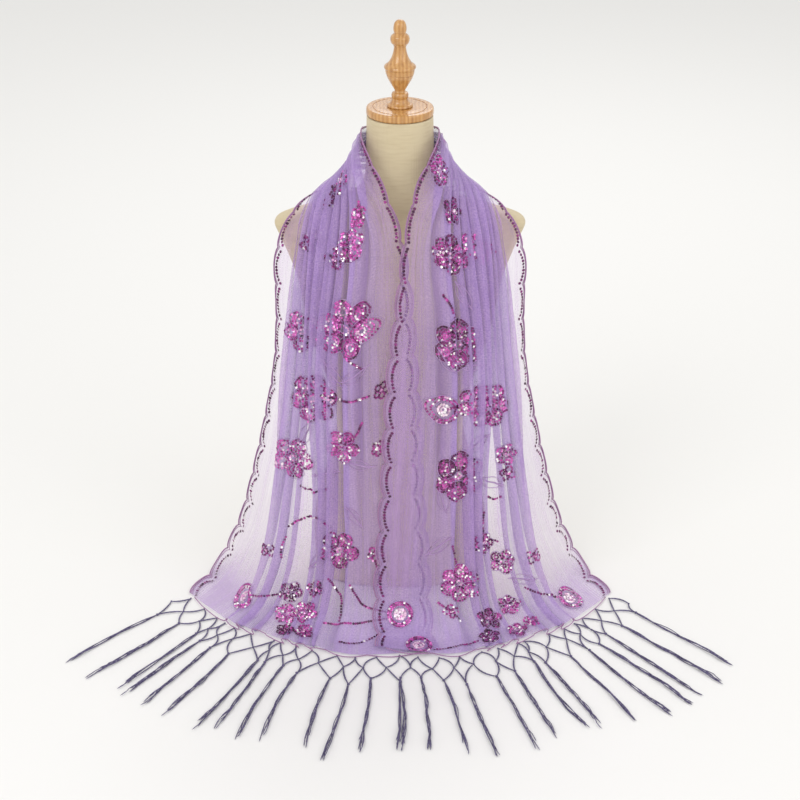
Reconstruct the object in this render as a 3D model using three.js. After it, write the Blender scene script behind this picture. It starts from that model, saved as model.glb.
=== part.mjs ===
// Evening stole on a limbless dress form. Millimetres, +Z up, front towards -Y.
// The form stands on its flat base at z = 0, with the origin under the middle of its neck.
// The stole is one long sheet of net. It goes round the back of the neck and down both fronts,
// in lengthwise pleats, and its two ends lie fanned out on the surface in front of the form.
import * as THREE from 'three';

// ---- driving dimensions -------------------------------------------------------------
const netWidth = 460;          // flat width of the net between its scalloped edgings
const pleatPitch = 51;         // flat cloth taken by one pleat
const wall = 1.6;              // thickness of the cloth walls
const seam = 0.35;             // gap between neighbouring pieces
const scallopPitch = 58;       // length of one scallop along an edge
const edgingWidth = 4;         // narrowest part of the scalloped edging
const scallopDepth = 8;        // how far each scallop swells past that
const edgingWall = 2.2;
const edgingStart = 1.75;      // gap to the net's edge, clear of the net's facets
const lapLift = 5.5;           // how far the right front stands off the left one it laps over
const flatLap = 22;            // the fronts have no pleats this near their neck edges
const lowFlatLap = 34;         // and this much more low down, where they lap further
const fringeLength = 232;      // netted heading and tassels, from the hem to the tips
const fringeWall = 2.4;
const fringeStart = { [-1]: 37, 1: 28 }; // how far across each net its fringe meets the other
const fringeFan = 44;          // angle of the outermost tassel from straight ahead, degrees
const neckTop = 785;
const capRadius = 50;
const capHeight = 12;

// Dress form: height, half width, depth to the front, depth to the back.
const formSections = [
  [0, 136, 66, 92], [6, 139, 69, 95], [70, 141, 78, 100], [130, 136, 82, 98], [200, 117, 80, 86],
  [275, 101, 78, 76], [350, 113, 88, 80], [425, 136, 106, 90], [485, 149, 115, 95],
  [530, 157, 107, 97], [570, 171, 86, 95], [600, 184, 66, 87], [616, 190, 54, 77],
  [623, 186, 48, 70], [632, 160, 44, 64], [643, 118, 44, 60], [655, 86, 46, 56], [668, 64, 47, 52],
  [690, 53, 47, 49], [720, 51, 47, 48], [neckTop, 49, 48, 48],
];
const formRounding = 2.25;     // exponent of the sections' superellipse
const formSides = 44;

// Stations down the stole, from the middle of the back (-3) over the shoulder line (0) to the
// hem (11). Each holds six points across the net, from the neck edge to the outer edge, as
// [outward, forward-back, height]. They lie on the inner side of the pleats.
const railsAcross = [0, 60, 130, 345, 425, netWidth];
const backStations = [
  [[0, 56, 753], [0, 59, 742], [0, 63, 728], [0, 75, 684], [0, 86, 652], [0, 100, 622]],
  [[28, 49, 754], [30, 52, 743], [32, 57, 729], [40, 70, 685], [49, 82, 655], [56, 95, 626]],
  [[48, 27, 757], [50, 30, 746], [52, 35, 732], [68, 48, 692], [82, 58, 668], [96, 64, 644]],
];
const frontStations = [
  [[57, -8, 762], [59, -6, 752], [62, -2, 736], [82, 6, 698], [98, 9, 680], [119, 8, 664]],
  [[52, -53, 748], [56, -55, 732], [66, -50, 708], [104, -38, 672], [126, -28, 660], [146, -18, 652]],
  [[28, -84, 700], [44, -84, 684], [62, -82, 664], [120, -66, 632], [146, -52, 626], [168, -38, 620]],
  [[6, -112, 628], [38, -114, 610], [60, -112, 594], [132, -88, 578], [156, -72, 574], [180, -54, 572]],
  [[-3, -131, 540], [44, -132, 516], [68, -126, 504], [140, -94, 498], [160, -78, 498], [181, -56, 498]],
  [[-8, -142, 440], [45, -142, 412], [70, -136, 402], [150, -98, 398], [170, -80, 400], [188, -55, 403]],
  [[-13, -149, 336], [43, -150, 308], [68, -144, 300], [160, -104, 298], [182, -80, 300], [205, -50, 303]],
  [[-18, -153, 226], [40, -156, 206], [68, -150, 200], [172, -108, 198], [200, -74, 200], [226, -38, 203]],
  [[-26, -163, 114], [34, -164, 108], [70, -160, 101], [188, -116, 99], [222, -68, 102], [250, -24, 106]],
  [[-30, -182, 34], [30, -182, 33], [78, -180, 28], [212, -128, 26], [252, -60, 28], [280, -8, 30]],
  [[-30, -218, 3], [28, -218, 3], [90, -216, 3], [232, -150, 3], [276, -88, 3], [304, -40, 3]],
  [[-30, -246, 2], [26, -256, 2], [92, -254, 2], [252, -182, 2], [308, -128, 2], [334, -96, 2]],
];
// Places across the flat cloth, and where the gathered cloth has them on the ribbon: in one
// wide bundle, and low down in two with a flat gap between them.
const gatherAt = [0, 110, 262, 284, 418, netWidth];
const gatherOne = [0, 150, 265, 282, 384, netWidth];
const gatherTwo = [0, 150, 247, 288, 384, netWidth];
// How far outward each front's neck edge is from station 3 on; below 0 it laps past the middle.
const rightNeckEdge = { 3: 12, 4: 4, 5: -6, 6: -12, 7: -17, 8: -24, 9: -27, 10: -25, 11: -23 };
const leftNeckEdge = { 3: 5, 4: -6, 5: -12, 6: -18, 7: -22, 8: -30, 9: -33, 10: -38, 11: -42 };

const stationsBack = backStations.length;
const hemStation = frontStations.length - 1;
const columns = 48;            // cells across the faceted net, and the stations of its rows
const backRows = [-3, -2.3, -1.5, -0.75, 0];
const frontRows = [0, 0.6, 1.2, 1.8, 2.5, 3.3, 4.2, 5.3, 6.6, 7.7, 8.5, 9, 9.4, 9.8, 10.3, 11];

const vec = (x, y, z) => new THREE.Vector3(x, y, z);

// ---- the stole's surface ---------------------------------------------------------------
// One station's six points, for side -1 (left) or 1 (right), still with x outward.
function station(k, side) {
  if (k < -stationsBack) return station(-2 * stationsBack - k, side).map(([x, y, z]) => [-x, y, z]);
  if (k < 0) return backStations[k + stationsBack];
  const points = frontStations[Math.min(k, hemStation)].map((p) => [...p]);
  const edge = (side > 0 ? rightNeckEdge : leftNeckEdge)[k];
  if (edge !== undefined) points[0][0] = edge;
  if (k > 2) {
    // The lapping front stands off the other one: forwards, and upwards where it lies down.
    const down = Math.min(1, Math.max(0, (k - 8) / 2));
    const lift = side > 0 ? [lapLift, lapLift] : [-lapLift * (1 - down), 0];
    lift.forEach((amount, i) => {
      points[i][1] -= amount * (1 - down);
      points[i][2] += amount * down;
    });
  }
  return points;
}

// Catmull-Rom spline over uneven knots, whose ends run on straight.
function spline(values, knots, x) {
  const last = knots.length - 1;
  let c = 0;
  while (c < last - 1 && x > knots[c + 1]) c += 1;
  const extended = (list, i) => {
    if (i < 0) return 2 * list[0] - list[1];
    return i > last ? 2 * list[last] - list[last - 1] : list[i];
  };
  const [p0, p1, p2, p3] = [-1, 0, 1, 2].map((i) => extended(values, c + i));
  const [t0, t1, t2, t3] = [-1, 0, 1, 2].map((i) => extended(knots, c + i));
  const m1 = ((p2 - p0) / (t2 - t0)) * (t2 - t1);
  const m2 = ((p3 - p1) / (t3 - t1)) * (t2 - t1);
  const u = (x - t1) / (t2 - t1);
  const u2 = u * u;
  const u3 = u2 * u;
  return (2 * u3 - 3 * u2 + 1) * p1 + (u3 - 2 * u2 + u) * m1
    + (3 * u2 - 2 * u3) * p2 + (u3 - u2) * m2;
}

// Point of the smooth, unpleated ribbon: a place across it, and t stations along.
function ribbon(place, t, side) {
  const k = Math.min(Math.floor(t), hemStation - 1);
  const last = Math.min(k + 2, hemStation);
  const near = [k - 1, k, k + 1, k + 2].filter((i) => i <= last);
  const rows = near.map((i) => station(i, side));
  if (near.length < 4) {
    near.push(last + 1);
    rows.push(rows.at(-1).map((p, j) => p.map((value, axis) => 2 * value - rows.at(-2)[j][axis])));
  }
  const along = (j, axis) => spline(rows.map((row) => row[j][axis]), near, t);
  return vec(...[0, 1, 2].map(
    (axis) => spline(railsAcross.map((_, j) => along(j, axis)), railsAcross, place)));
}

// Place on the ribbon of the cloth s millimetres across, at station t.
function gathered(s, t) {
  const one = spline(gatherOne, gatherAt, s);
  const two = spline(gatherTwo, gatherAt, s);
  const place = one + smooth((t - 5) / 2) * (two - one);
  return s + smooth(t / 3) * (place - s);
}

// The cloth at a place on the hem's ribbon, by repeated correction.
function clothAtHem(place) {
  let s = place;
  for (let i = 0; i < 30; i += 1) s -= 0.6 * (gathered(s, hemStation) - place);
  return s;
}

// Point of the pleated net. The net's own width is kept: where the ribbon is narrower than the
// flat cloth, the cloth's section swings to and fro as a meander whose heading is a sine. Where
// it is tightest the pleats lie half over, so they stand less high.
function net(s, t, side) {
  const step = 2;
  const across = ribbon(gathered(s + step, t), t, side)
    .sub(ribbon(gathered(s - step, t), t, side)).divideScalar(2 * step);
  const place = gathered(s, t);
  const along = ribbon(place, t + 0.05, side).sub(ribbon(place, t - 0.05, side));
  const ratio = Math.min(0.985, Math.max(0.22, across.length()));
  const swing = 2 * Math.sqrt(2 * (1 - Math.sqrt(ratio)));
  const wander = 0.5 * Math.sin(0.55 * t + 0.011 * s);
  const phase = (2 * Math.PI * (s - gatherAt[1])) / pleatPitch + Math.PI + wander;
  const j1 = swing / 2 - swing ** 3 / 16 + swing ** 5 / 384;
  const j2 = swing ** 2 / 8 - swing ** 4 / 96;
  const j3 = swing ** 3 / 48 - swing ** 5 / 768;
  const unit = pleatPitch / (2 * Math.PI);
  const tangent = across.normalize();
  const normal = along.cross(tangent).normalize();
  const lapped = flatLap * smooth((t - 1.5) / 1.5) + lowFlatLap * smooth((t - 5) / 3);
  const fade = smooth((s - lapped) / (30 + lapped / 2)) * smooth((netWidth - s) / 30);
  const pressed = 1 - 0.55 * smooth((t - 8.6) / 1.6) - 0.3 * smooth(1 - t);
  const upright = 1 - 0.5 * smooth((0.95 - ratio) / 0.4);
  const height = 2 * j1 * (1 + Math.cos(phase)) + (2 / 3) * j3 * (1 + Math.cos(3 * phase));
  const point = ribbon(place, t, side);
  point.addScaledVector(tangent, unit * j2 * Math.sin(2 * phase) * upright * fade);
  point.addScaledVector(normal, unit * height * upright * fade * pressed);
  return point;
}

function smooth(x) {
  const u = Math.min(1, Math.max(0, x));
  return u * u * (3 - 2 * u);
}

function netPoint(s, t, side) {
  const p = net(s, t, side);
  return vec(side * p.x, p.y, Math.max(p.z, wall / 2 + 0.1));
}

// Point on the edge of the faceted net, between two of its rows.
function edgePoint(s, t, side) {
  const i = Math.max(0, frontRows.findLastIndex((row) => row <= t && row < hemStation));
  const [t0, t1] = [frontRows[i], frontRows[i + 1]];
  return netPoint(s, t0, side).lerp(netPoint(s, t1, side), (t - t0) / (t1 - t0));
}

// ---- closed solids -------------------------------------------------------------------
// Shell of a grid of points, rows x columns, given its thickness half to each side.
function shell(grid, thickness) {
  const rows = grid.length;
  const cols = grid[0].length;
  const at = (i, j) => grid[Math.max(0, Math.min(rows - 1, i))][Math.max(0, Math.min(cols - 1, j))];
  const faces = [[], []];
  for (let i = 0; i < rows; i += 1) {
    for (let j = 0; j < cols; j += 1) {
      const du = at(i, j + 1).clone().sub(at(i, j - 1));
      const dv = at(i + 1, j).clone().sub(at(i - 1, j));
      const normal = dv.cross(du).normalize();
      faces[0].push(at(i, j).clone().addScaledVector(normal, thickness / 2));
      faces[1].push(at(i, j).clone().addScaledVector(normal, -thickness / 2));
    }
  }
  return gridSolid(faces, rows, cols);
}

// Solid between two grids that share their layout: a front, a back and a rim.
function gridSolid(faces, rows, cols) {
  const positions = faces.flat().flatMap((p) => [p.x, p.y, p.z]);
  const count = rows * cols;
  const index = [];
  const quad = (a, b, c, d) => index.push(a, b, c, a, c, d);
  for (let i = 0; i < rows - 1; i += 1) {
    for (let j = 0; j < cols - 1; j += 1) {
      const a = i * cols + j;
      quad(a, a + cols, a + cols + 1, a + 1);
      quad(count + a, count + a + 1, count + a + cols + 1, count + a + cols);
    }
  }
  const rim = [];
  for (let j = 0; j < cols - 1; j += 1) rim.push(j);
  for (let i = 0; i < rows - 1; i += 1) rim.push(i * cols + cols - 1);
  for (let j = cols - 1; j > 0; j -= 1) rim.push((rows - 1) * cols + j);
  for (let i = rows - 1; i > 0; i -= 1) rim.push(i * cols);
  rim.forEach((a, n) => {
    const b = rim[(n + 1) % rim.length];
    quad(a, b, count + b, count + a);
  });
  const geometry = new THREE.BufferGeometry();
  geometry.setAttribute('position', new THREE.Float32BufferAttribute(positions, 3));
  geometry.setIndex(index);
  return outward(geometry);
}

// Turns every triangle over when the solid's signed volume says that it is inside out.
function outward(geometry) {
  const p = geometry.attributes.position;
  const index = Array.from(geometry.index.array);
  let volume = 0;
  const corner = (n) => vec(p.getX(n), p.getY(n), p.getZ(n));
  for (let i = 0; i < index.length; i += 3) {
    volume += corner(index[i]).dot(corner(index[i + 1]).cross(corner(index[i + 2])));
  }
  if (volume < 0) {
    for (let i = 0; i < index.length; i += 3) [index[i], index[i + 1]] = [index[i + 1], index[i]];
    geometry.setIndex(index);
  }
  return geometry;
}

function panel(side, rows) {
  const grid = rows.map((t) => Array.from({ length: columns + 1 },
    (_, j) => netPoint((netWidth * j) / columns, t, side)));
  return shell(grid, wall);
}

// The net behind the neck: the left half's rows, from shoulder to middle, then the right's.
function backPanel() {
  const inset = 0.02;
  const rows = [];
  for (const side of [-1, 1]) {
    const order = side < 0 ? [...backRows].reverse() : backRows.slice(1);
    for (const t of order) {
      rows.push(Array.from({ length: columns + 1 },
        (_, j) => netPoint((netWidth * j) / columns, Math.min(t, -inset), side)));
    }
  }
  return shell(rows, wall);
}

// Keeps a point of the edging's middle surface at least its half thickness above the surface.
function lying(point) {
  point.z = Math.max(point.z, edgingWall / 2 + 0.05);
  return point;
}

// Scalloped edging: a strip that starts just off the net's edge and swells once each scallop.
function edging(side, outer, t0, t1) {
  const samples = Math.round((t1 - t0) * 5);
  const s = outer ? netWidth : 0;
  const inward = ((outer ? -1 : 1) * netWidth) / columns;
  let length = 0;
  let before = null;
  const grid = [[], []];
  for (let i = 0; i <= samples; i += 1) {
    const t = t0 + ((t1 - t0) * i) / samples;
    const edge = edgePoint(s, t, side);
    if (before) length += edge.distanceTo(before);
    before = edge;
    const away = edge.clone().sub(edgePoint(s + inward, t, side)).normalize();
    const swell = Math.abs(Math.sin((Math.PI * length) / scallopPitch)) * scallopDepth;
    grid[0].push(lying(edge.clone().addScaledVector(away, edgingStart)));
    grid[1].push(lying(edge.clone().addScaledVector(away, edgingStart + edgingWidth + swell)));
  }
  return shell(grid, edgingWall);
}

// Direction in which the fringe runs on the surface from a place across the hem.
function fringeWay(place, side) {
  const out = Math.max(0, place - fringeStart[side]) / (netWidth - fringeStart[side]);
  const turn = THREE.MathUtils.degToRad(fringeFan) * out ** 0.9;
  return vec(side * Math.sin(turn), -Math.cos(turn), 0);
}

// Hem edging: scallops along the hem, lying on the surface in front of the net.
function hemEdging(side) {
  const grid = [[], []];
  const samples = columns;
  for (let j = 0; j <= samples; j += 1) {
    const s = (netWidth * j) / samples;
    const edge = netPoint(s, hemStation, side);
    const swell = Math.abs(Math.sin((Math.PI * s) / (netWidth / 8))) * scallopDepth;
    const way = fringeWay(gathered(s, hemStation), side);
    for (const [row, reach] of [[0, edgingStart], [1, edgingStart + edgingWidth + swell]]) {
      grid[row].push(lying(edge.clone().addScaledVector(way, reach)));
    }
  }
  return shell(grid, edgingWall);
}

// Reach of one end's fringe: a thin fan on the surface, from the hem edging to the tassel tips.
function fringeFanSlab(side) {
  const samples = 26;
  const start = edgingStart + edgingWidth + scallopDepth + 3;
  const top = [];
  const bottom = [];
  for (const reach of [start, fringeLength * 0.5, fringeLength]) {
    for (let j = 0; j <= samples; j += 1) {
      // Near the middle each end's fringe stops short of the other's.
      const place = fringeStart[side] + ((netWidth - fringeStart[side]) * j) / samples;
      const hem = netPoint(clothAtHem(place), hemStation, side);
      const p = hem.addScaledVector(fringeWay(place, side), reach);
      const x = side * Math.max(side * p.x, 0.6 + 0.02 * j);
      const tuft = reach === fringeLength ? 6 * Math.sin(2.9 * j + side) : 0;
      top.push(vec(x, p.y + tuft, fringeWall));
      bottom.push(vec(x, p.y + tuft, 0));
    }
  }
  return gridSolid([top, bottom], 3, samples + 1);
}

// ---- the dress form --------------------------------------------------------------------
// Closed loft of superellipse sections, each with its own depth to the front and the back.
function formTorso() {
  const positions = [];
  const index = [];
  for (const [z, width, front, back] of formSections) {
    for (let j = 0; j < formSides; j += 1) {
      const a = (2 * Math.PI * j) / formSides;
      const power = 2 / formRounding;
      const [cos, sin] = [Math.cos(a), Math.sin(a)];
      const x = width * Math.sign(cos) * Math.abs(cos) ** power;
      const y = (sin < 0 ? front : back) * Math.sign(sin) * Math.abs(sin) ** power;
      positions.push(x, y, z);
    }
  }
  const rings = formSections.length;
  for (let i = 0; i < rings - 1; i += 1) {
    for (let j = 0; j < formSides; j += 1) {
      const a = i * formSides + j;
      const b = i * formSides + ((j + 1) % formSides);
      index.push(a, b, b + formSides, a, b + formSides, a + formSides);
    }
  }
  const lowest = positions.length / 3;
  positions.push(0, 0, 0, 0, 0, neckTop);
  const last = (rings - 1) * formSides;
  for (let j = 0; j < formSides; j += 1) {
    const next = (j + 1) % formSides;
    index.push(lowest, next, j, lowest + 1, last + j, last + next);
  }
  const geometry = new THREE.BufferGeometry();
  geometry.setAttribute('position', new THREE.Float32BufferAttribute(positions, 3));
  geometry.setIndex(index);
  return outward(geometry);
}

// Turned piece: [radius, height] pairs from the axis round to the axis, as a closed lathe.
function turned(profile, sides) {
  const geometry = new THREE.LatheGeometry(profile.map(([r, z]) => new THREE.Vector2(r, z)), sides);
  geometry.rotateX(Math.PI / 2);
  return geometry;
}

const capBottom = neckTop + seam;
const capTop = capBottom + capHeight;
const capProfile = [
  [0, capBottom], [46, capBottom], [49, capBottom + 1.5], [capRadius, capBottom + 4],
  [capRadius, capTop - 3], [49, capTop - 1], [46.5, capTop], [0, capTop],
];
const finialBottom = capTop + seam;
const finialProfile = [
  [0, 0], [19, 0], [18.5, 3], [15, 6], [12.2, 9.5], [11.8, 13], [12, 20], [8, 23.5], [9.5, 27],
  [12.5, 32], [15.3, 37], [18.4, 42], [19.9, 47], [21, 52], [21.4, 56], [23.3, 60], [22.4, 62],
  [16, 67.5], [11.8, 75], [9.6, 83], [8.8, 89.5], [12.2, 94], [14, 101], [12, 107], [8.8, 109.5],
  [9.2, 114], [9, 122], [6.6, 126.6], [3, 128.2], [0, 128.5],
].map(([r, z]) => [r, z + finialBottom]);

// ---- the model ---------------------------------------------------------------------------
const finish = {
  net: { color: 0xb49ad8, roughness: 0.85, metalness: 0 },
  trim: { color: 0xa67fd0, roughness: 0.6, metalness: 0 },
  fringe: { color: 0x6a5ea8, roughness: 0.8, metalness: 0 },
  linen: { color: 0xddd0b4, roughness: 0.9, metalness: 0 },
  wood: { color: 0xcf9c57, roughness: 0.3, metalness: 0 },
};

const group = new THREE.Group();
function add(name, geometry, kind) {
  const mesh = new THREE.Mesh(geometry, new THREE.MeshStandardMaterial(finish[kind]));
  mesh.name = name;
  group.add(mesh);
}

add('form_torso', formTorso(), 'linen');
add('form_neck_cap', turned(capProfile, 40), 'wood');
add('form_finial', turned(finialProfile, 28), 'wood');
add('stole_back_neck', backPanel(), 'net');
for (const [name, side] of [['left', -1], ['right', 1]]) {
  add(`stole_front_${name}`, panel(side, frontRows), 'net');
  add(`edging_neck_${name}`, edging(side, false, 0.03, hemStation - 0.1), 'trim');
  add(`edging_outer_${name}`, edging(side, true, 0.03, hemStation - 0.1), 'trim');
  add(`edging_hem_${name}`, hemEdging(side), 'trim');
  add(`fringe_${name}`, fringeFanSlab(side), 'fringe');
}

export default group;
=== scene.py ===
"""Evening stole of sheer net, with sequin flowers, scalloped edges and a knotted fringe, worn
round the neck of a limbless linen dress form with a turned wood neck cap."""
import math
import bmesh
import bpy
import numpy as np
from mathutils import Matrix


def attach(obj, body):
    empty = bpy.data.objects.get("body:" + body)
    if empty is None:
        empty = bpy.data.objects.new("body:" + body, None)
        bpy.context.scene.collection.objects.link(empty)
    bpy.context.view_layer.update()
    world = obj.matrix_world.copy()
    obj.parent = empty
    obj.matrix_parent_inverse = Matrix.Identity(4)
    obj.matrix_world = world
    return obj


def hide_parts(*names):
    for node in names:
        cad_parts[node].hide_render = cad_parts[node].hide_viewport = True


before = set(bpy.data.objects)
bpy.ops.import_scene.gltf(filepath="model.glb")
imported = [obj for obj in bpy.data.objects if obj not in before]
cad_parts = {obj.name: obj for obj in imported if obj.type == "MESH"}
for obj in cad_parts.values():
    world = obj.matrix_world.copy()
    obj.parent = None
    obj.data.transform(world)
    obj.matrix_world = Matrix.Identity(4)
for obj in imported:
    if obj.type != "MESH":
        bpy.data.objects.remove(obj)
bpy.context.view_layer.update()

# Sizes are in millimetres and become metres in the meshes. Stations count down the cloth.
MM = 0.001
SIDES = {"left": -1, "right": 1}
HEM = 11
NET_WIDTH = 460.0
PLEAT_PITCH = 51.0
PLEAT_LEAN = 1.9
SCALLOP_PITCH = 58.0
SCALLOP_DEPTH = 8.0
EDGING_WIDTH = 5.7
FLAT_LAP = 22.0                     # no pleats this near the neck edges
LOW_FLAT_LAP = 34.0                 # and this much more low down
LAP_LIFT = 5.5                      # between the lapped fronts, to each side
SEQUIN_STEP = 3.4
EDGE_SEQUIN_STEP = 4.9
TASSELS = 14
FRINGE_LENGTH = 232.0
FRINGE_FAN = math.radians(44)       # how far the outermost tassel turns outward
FRINGE_START = {-1: 37.0, 1: 28.0}  # how far across the hem the first tassel is
FRINGE_SPREAD = {-1: 8.0, 1: 34.0}  # how much longer the outermost one is
KNOTS_AT = (8, 28, 60)              # rows of knots: at the hem, then down the netting

# Six points across the net at each station down it, in millimetres: outward, forward-back and
# height. Station -3 is the middle of the back, 0 the shoulder line and 11 the hem.
RAILS = np.array([0, 60, 130, 345, 425, NET_WIDTH])
BACK = np.array([
    [[0, 56, 753], [0, 59, 742], [0, 63, 728], [0, 75, 684], [0, 86, 652], [0, 100, 622]],
    [[28, 49, 754], [30, 52, 743], [32, 57, 729], [40, 70, 685], [49, 82, 655], [56, 95, 626]],
    [[48, 27, 757], [50, 30, 746], [52, 35, 732], [68, 48, 692], [82, 58, 668], [96, 64, 644]]], float)
FRONT = np.array([
    [[57, -8, 762], [59, -6, 752], [62, -2, 736], [82, 6, 698], [98, 9, 680], [119, 8, 664]],
    [[52, -53, 748], [56, -55, 732], [66, -50, 708], [104, -38, 672], [126, -28, 660], [146, -18, 652]],
    [[28, -84, 700], [44, -84, 684], [62, -82, 664], [120, -66, 632], [146, -52, 626], [168, -38, 620]],
    [[6, -112, 628], [38, -114, 610], [60, -112, 594], [132, -88, 578], [156, -72, 574], [180, -54, 572]],
    [[-3, -131, 540], [44, -132, 516], [68, -126, 504], [140, -94, 498], [160, -78, 498], [181, -56, 498]],
    [[-8, -142, 440], [45, -142, 412], [70, -136, 402], [150, -98, 398], [170, -80, 400], [188, -55, 403]],
    [[-13, -149, 336], [43, -150, 308], [68, -144, 300], [160, -104, 298], [182, -80, 300], [205, -50, 303]],
    [[-18, -153, 226], [40, -156, 206], [68, -150, 200], [172, -108, 198], [200, -74, 200], [226, -38, 203]],
    [[-26, -163, 114], [34, -164, 108], [70, -160, 101], [188, -116, 99], [222, -68, 102], [250, -24, 106]],
    [[-30, -182, 34], [30, -182, 33], [78, -180, 28], [212, -128, 26], [252, -60, 28], [280, -8, 30]],
    [[-30, -218, 3], [28, -218, 3], [90, -216, 3], [232, -150, 3], [276, -88, 3], [304, -40, 3]],
    [[-30, -246, 2], [26, -256, 2], [92, -254, 2], [252, -182, 2], [308, -128, 2], [334, -96, 2]]], float)
# Places across the flat cloth, and where the gathered cloth has them on the ribbon: in one
# wide bundle, and low down in two with a flat gap between them.
GATHER_AT = np.array([0, 110, 262, 284, 418, NET_WIDTH])
GATHER_TO = np.array([[0, 150, 265, 282, 384, NET_WIDTH], [0, 150, 247, 288, 384, NET_WIDTH]], float)
# How far outward each front's neck edge is from station 3 on; negative is past the middle.
NECK_EDGE = {1: [12, 4, -6, -12, -17, -24, -27, -25, -23],
             -1: [5, -6, -12, -18, -22, -30, -33, -38, -42]}


# ---- curves and surfaces as whole arrays ----
def smooth(x):
    """0 below 0, 1 above 1, and the cubic 3x^2 - 2x^3 between."""
    x = np.clip(x, 0, 1)
    return x * x * (3 - 2 * x)


def normalised(vectors):
    """Vectors made one long."""
    return vectors / np.linalg.norm(vectors, axis=-1, keepdims=True)


def spline_weights(x, knots):
    """Weights of the knots' values at each x, for a Catmull-Rom spline over uneven knots whose
    two ends run on straight: one row of weights per x, from the cubic Hermite basis."""
    x, n = np.asarray(x, float).ravel(), len(knots)
    places = np.concatenate([[2 * knots[0] - knots[1]], knots, [2 * knots[-1] - knots[-2]]])
    ghosts = np.zeros((n + 2, n))
    ghosts[1:-1] = np.eye(n)
    ghosts[0, :2], ghosts[-1, -2:] = (2, -1), (-1, 2)
    c = np.clip(np.searchsorted(knots, x, side="right") - 1, 0, n - 2)
    p0, p1, p2, p3 = (places[c + i] for i in range(4))
    u = (x - p1) / (p2 - p1)
    rise = u ** 3 - 2 * u ** 2 + u
    fall = u ** 3 - u ** 2
    a, b = rise * (p2 - p1) / (p2 - p0), fall * (p2 - p1) / (p3 - p1)
    w = np.zeros((len(x), n + 2))
    rows = np.arange(len(x))
    w[rows, c] = -a
    w[rows, c + 1] = 2 * u ** 3 - 3 * u ** 2 + 1 - b
    w[rows, c + 2] = 3 * u ** 2 - 2 * u ** 3 + a
    w[rows, c + 3] = b
    return w @ ghosts


def stations(side):
    """All the stations of one half, from -6 to 11: those before -3 mirror the ones after it."""
    front = FRONT.copy()
    front[3:, 0, 0] = NECK_EDGE[side]
    k = np.arange(3, HEM + 1)
    lying = np.clip((k - 8) / 2, 0, 1)
    lift = [LAP_LIFT + 0 * k, LAP_LIFT + 0 * k] if side > 0 else [-LAP_LIFT * (1 - lying), 0 * k]
    for rail, amount in enumerate(lift):
        front[3:, rail, 1] -= amount * (1 - lying)
        front[3:, rail, 2] += amount * lying
    far = np.concatenate([front[:1], BACK[:0:-1]]) * (-1, 1, 1)
    return np.concatenate([far, BACK, front])


STATIONS = {side: stations(side) for side in SIDES.values()}
STATION_PLACES = np.arange(-6, HEM + 1).astype(float)


def ribbon(place, t, side):
    """The smooth ribbon that the pleats stand on: a spline through the stations' points, t
    stations along and at a place across."""
    rows = spline_weights(t, STATION_PLACES) @ STATIONS[side].reshape(len(STATION_PLACES), -1)
    return np.einsum("nj,njc->nc", spline_weights(place, RAILS), rows.reshape(-1, len(RAILS), 3))


def gathered(s, t):
    """Place on the ribbon of the cloth s millimetres across, at station t."""
    one, two = (spline_weights(s, GATHER_AT) @ GATHER_TO.T).T
    place = one + smooth((t - 5) / 2) * (two - one)
    return s + smooth(t / 3) * (place - s)


def ungathered(place, t):
    """Millimetres across the cloth at places on the ribbon, by repeated correction."""
    s = np.array(place, float)
    for _ in range(14):
        s -= 0.6 * (gathered(s, t) - place)
    return s


def fullness(s, t, ratio, fade):
    """How dense the cloth looks, from 0 to 1.5: denser the narrower its ribbon is, towards the
    neck edge, in the wide fold beside that edge, and where the end lies on the surface."""
    full = 1.15 * (1 - ratio) * fade
    full += 0.45 * smooth(t / 3) * smooth((130 - s) / 40)
    full += 0.5 * smooth((s - 15) / 25) * smooth((125 - s) / 25) * smooth((t - 1) / 2)
    full += 0.55 * smooth((t - 8.6) / 1.2)
    return np.clip(full, 0, 1.5)


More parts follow.
